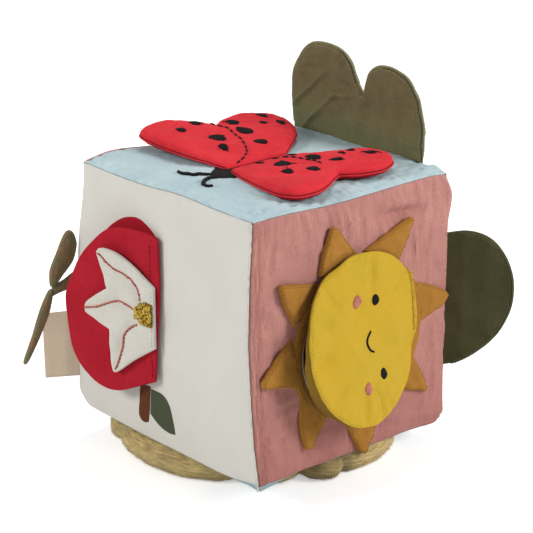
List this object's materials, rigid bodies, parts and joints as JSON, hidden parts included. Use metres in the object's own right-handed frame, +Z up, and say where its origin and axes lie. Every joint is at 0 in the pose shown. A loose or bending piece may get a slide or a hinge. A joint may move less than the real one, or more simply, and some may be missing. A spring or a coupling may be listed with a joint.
{
  "type": "soft fabric activity block",
  "caption": "Stuffed cloth cube on a plush pad, with butterfly wings, an apple flap, a sun flap over a mirror and cloth leaves.",
  "frame": {"origin": "on the floor, at the middle of the cube's footprint and on the pad's flat underside", "axes": "+Z up; the sun side faces -Y and the apple side faces -X; the tall leaf stands on the +X edge of the top"},
  "size_m": [0.2105, 0.199, 0.2213],
  "materials": {
    "sky_cloth": "light blue woven cotton, soft and matt",
    "cream_cloth": "off-white woven cotton, soft and matt",
    "rose_cloth": "dusty pink crinkled cotton, soft and matt",
    "red_cloth": "red woven cotton with a print, matt",
    "apple_red_cloth": "dark red woven cotton, matt",
    "flower_cloth": "off-white cotton with embroidered veins",
    "sun_cloth": "yellow woven cotton with an embroidered face",
    "ochre_cloth": "ochre brown woven cotton, matt",
    "olive_cloth": "dark olive green cloth, matt",
    "plush": "sandy short-pile plush",
    "ribbon": "folded satin ribbon, pale tan",
    "wadding": "white polyester stuffing",
    "mirror_film": "silvered soft plastic film"
  },
  "bodies": {
    "block": {"fill_block": "wadding", "panel_apple_side": "cream_cloth", "panel_sun_side": "rose_cloth", "panel_leaf_side": "sky_cloth", "panel_sprout_side": "rose_cloth", "panel_top": "sky_cloth", "panel_bottom": "sky_cloth", "pad_upper_plush": "plush", "pad_lower_plush": "plush", "pad_batting": "wadding", "apple_patch": "apple_red_cloth", "mirror": "mirror_film", "mirror_ring": "ochre_cloth", "sun_ray_1": "ochre_cloth", "sun_ray_2": "ochre_cloth", "sun_ray_3": "ochre_cloth", "sun_ray_4": "ochre_cloth", "sun_ray_5": "ochre_cloth", "sun_ray_6": "ochre_cloth", "sun_ray_7": "ochre_cloth", "sun_ray_8": "ochre_cloth"},
    "left_wing": {"left_wing_upper_cloth": "red_cloth", "left_wing_lower_cloth": "red_cloth", "left_wing_batting": "wadding"},
    "right_wing": {"right_wing_upper_cloth": "red_cloth", "right_wing_lower_cloth": "red_cloth", "right_wing_batting": "wadding"},
    "apple_flap": {"apple_flap_outer": "apple_red_cloth", "apple_flap_lining": "apple_red_cloth"},
    "flower_flap": {"flower_flap_outer": "flower_cloth", "flower_flap_lining": "flower_cloth"},
    "sun_flap": {"sun_flap_outer": "sun_cloth", "sun_flap_lining": "sun_cloth"},
    "tall_leaf": {"tall_leaf_outer_cloth": "olive_cloth", "tall_leaf_inner_cloth": "olive_cloth", "tall_leaf_batting": "wadding"},
    "round_leaf": {"round_leaf_front_cloth": "olive_cloth", "round_leaf_back_cloth": "olive_cloth", "round_leaf_batting": "wadding"},
    "sprout": {"sprout_stalk": "olive_cloth", "sprout_upper_leaf": "olive_cloth", "sprout_lower_leaf": "olive_cloth"},
    "label": {"label_tab": "ribbon"}
  },
  "joints": [
    {"name": "left_wing_hinge", "type": "hinge", "parent": "block", "child": "left_wing", "pos_m": [0, 0.002, 0.16915], "axis": [1, 0, 0], "range_deg": [0, 70]},
    {"name": "right_wing_hinge", "type": "hinge", "parent": "block", "child": "right_wing", "pos_m": [0, -0.002, 0.16915], "axis": [-1, 0, 0], "range_deg": [0, 70]},
    {"name": "apple_flap_hinge", "type": "hinge", "parent": "block", "child": "apple_flap", "pos_m": [-0.08, -0.0025, 0.0995], "axis": [0, 0, 1], "range_deg": [-10, 87]},
    {"name": "flower_flap_hinge", "type": "hinge", "parent": "apple_flap", "child": "flower_flap", "pos_m": [-0.082, -0.0025, 0.096], "axis": [0, 0, 1], "range_deg": [-3, 68]},
    {"name": "sun_flap_hinge", "type": "hinge", "parent": "block", "child": "sun_flap", "pos_m": [0.04585, -0.08005, 0.09312], "axis": [-0.225, 0, 0.9744], "range_deg": [-2, 111]},
    {"name": "tall_leaf_fold", "type": "hinge", "parent": "block", "child": "tall_leaf", "pos_m": [0.075, 0, 0.167], "axis": [0, 1, 0], "range_deg": [-15, 80], "stiffness_Nm_per_rad": 0.02},
    {"name": "round_leaf_fold", "type": "hinge", "parent": "block", "child": "round_leaf", "pos_m": [0.07571, -0.07571, 0.088], "axis": [0, 0, 1], "range_deg": [-25, 25], "stiffness_Nm_per_rad": 0.01},
    {"name": "sprout_fold", "type": "hinge", "parent": "block", "child": "sprout", "pos_m": [-0.07571, 0.07571, 0.097], "axis": [0, 0, 1], "range_deg": [-10, 10], "stiffness_Nm_per_rad": 0.01},
    {"name": "label_fold", "type": "hinge", "parent": "block", "child": "label", "pos_m": [-0.07571, 0.07571, 0.057], "axis": [0, 0, 1], "range_deg": [-12, 12], "stiffness_Nm_per_rad": 0.005}
  ]
}
